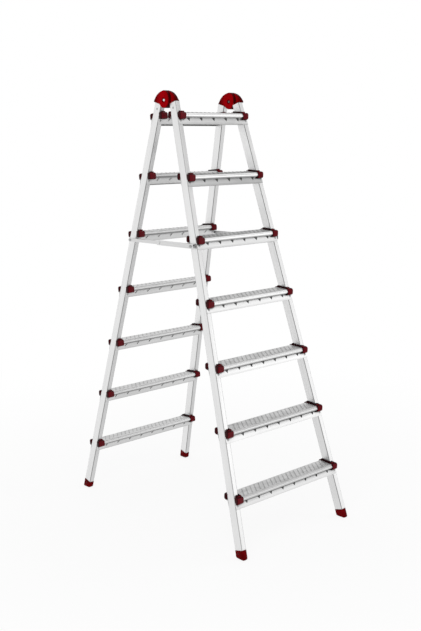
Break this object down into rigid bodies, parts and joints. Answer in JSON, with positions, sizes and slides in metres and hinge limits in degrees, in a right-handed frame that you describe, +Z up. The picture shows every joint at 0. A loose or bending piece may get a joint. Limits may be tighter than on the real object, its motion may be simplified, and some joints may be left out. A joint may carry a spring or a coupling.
{
  "type": "trestle ladder",
  "caption": "Folding trestle ladder: flared aluminium frames with ribbed treads on both sides, red moulded hinges at the top and folding side struts.",
  "frame": {"origin": "on the floor, midway between the four feet", "axes": "+Z up, X along the treads, -Y towards the front frame"},
  "size_m": [0.5984, 1.1016, 1.7616],
  "materials": {
    "tube": "satin mill finish",
    "tread": "pressed, satin",
    "tread_end": "moulded, dark maroon",
    "hinge": "moulded, red",
    "foot": "moulded, dark red",
    "steel": "zinc plated"
  },
  "bodies": {
    "front_frame": {"front_left_stile": "tube", "front_left_foot": "foot", "front_left_hinge_cap": "hinge", "front_right_stile": "tube", "front_right_foot": "foot", "front_right_hinge_cap": "hinge", "front_step_1": "tread", "front_step_ends_1": "tread_end", "front_step_2": "tread", "front_step_ends_2": "tread_end", "front_step_3": "tread", "front_step_ends_3": "tread_end", "front_step_4": "tread", "front_step_ends_4": "tread_end", "front_step_5": "tread", "front_step_ends_5": "tread_end", "front_step_6": "tread", "front_step_ends_6": "tread_end", "front_step_7": "tread", "front_step_ends_7": "tread_end", "front_step_rivets": "steel", "front_hinge_rivets": "steel", "front_foot_rivets": "steel", "left_hinge_bolt": "steel", "right_hinge_bolt": "steel", "hinge_nuts": "steel", "strut_front_bolts": "steel", "strut_spacers": "steel"},
    "rear_frame": {"rear_left_stile": "tube", "rear_left_foot": "foot", "rear_left_hinge_cap": "hinge", "rear_right_stile": "tube", "rear_right_foot": "foot", "rear_right_hinge_cap": "hinge", "rear_step_1": "tread", "rear_step_ends_1": "tread_end", "rear_step_2": "tread", "rear_step_ends_2": "tread_end", "rear_step_3": "tread", "rear_step_ends_3": "tread_end", "rear_step_4": "tread", "rear_step_ends_4": "tread_end", "rear_step_5": "tread", "rear_step_ends_5": "tread_end", "rear_step_6": "tread", "rear_step_ends_6": "tread_end", "rear_step_7": "tread", "rear_step_ends_7": "tread_end", "rear_step_rivets": "steel", "rear_hinge_rivets": "steel", "rear_foot_rivets": "steel"},
    "left_strut_front": {"left_channel_link": "tube", "left_strut_middle_pin": "steel"},
    "left_strut_rear": {"left_inner_link": "tube", "left_strut_rear_stud": "steel"},
    "right_strut_front": {"right_channel_link": "tube", "right_strut_middle_pin": "steel"},
    "right_strut_rear": {"right_inner_link": "tube", "right_strut_rear_stud": "steel"}
  },
  "joints": [
    {"name": "frame_fold", "type": "hinge", "parent": "front_frame", "child": "rear_frame", "pos_m": [0, 0, 1.72359], "axis": [-1, 0, 0], "range_deg": [0, 31.4]},
    {"name": "left_strut_pivot", "type": "hinge", "parent": "front_frame", "child": "left_strut_front", "pos_m": [-0.22518, -0.20131, 1.16004], "axis": [1, 0, 0], "range_deg": [0, 62.47]},
    {"name": "left_strut_fold", "type": "hinge", "parent": "left_strut_front", "child": "left_strut_rear", "pos_m": [-0.22518, 0, 1.16004], "axis": [-1, 0, 0], "range_deg": [0, 156.33]},
    {"name": "right_strut_pivot", "type": "hinge", "parent": "front_frame", "child": "right_strut_front", "pos_m": [0.22518, -0.20131, 1.16004], "axis": [1, 0, 0], "range_deg": [0, 62.47]},
    {"name": "right_strut_fold", "type": "hinge", "parent": "right_strut_front", "child": "right_strut_rear", "pos_m": [0.22518, 0, 1.16004], "axis": [-1, 0, 0], "range_deg": [0, 156.33]}
  ],
  "couplings": [
    {"joint": "left_strut_pivot", "follows": "frame_fold", "ratio": 1.9892},
    {"joint": "left_strut_fold", "follows": "frame_fold", "ratio": 4.9784},
    {"joint": "right_strut_pivot", "follows": "frame_fold", "ratio": 1.9892},
    {"joint": "right_strut_fold", "follows": "frame_fold", "ratio": 4.9784}
  ]
}
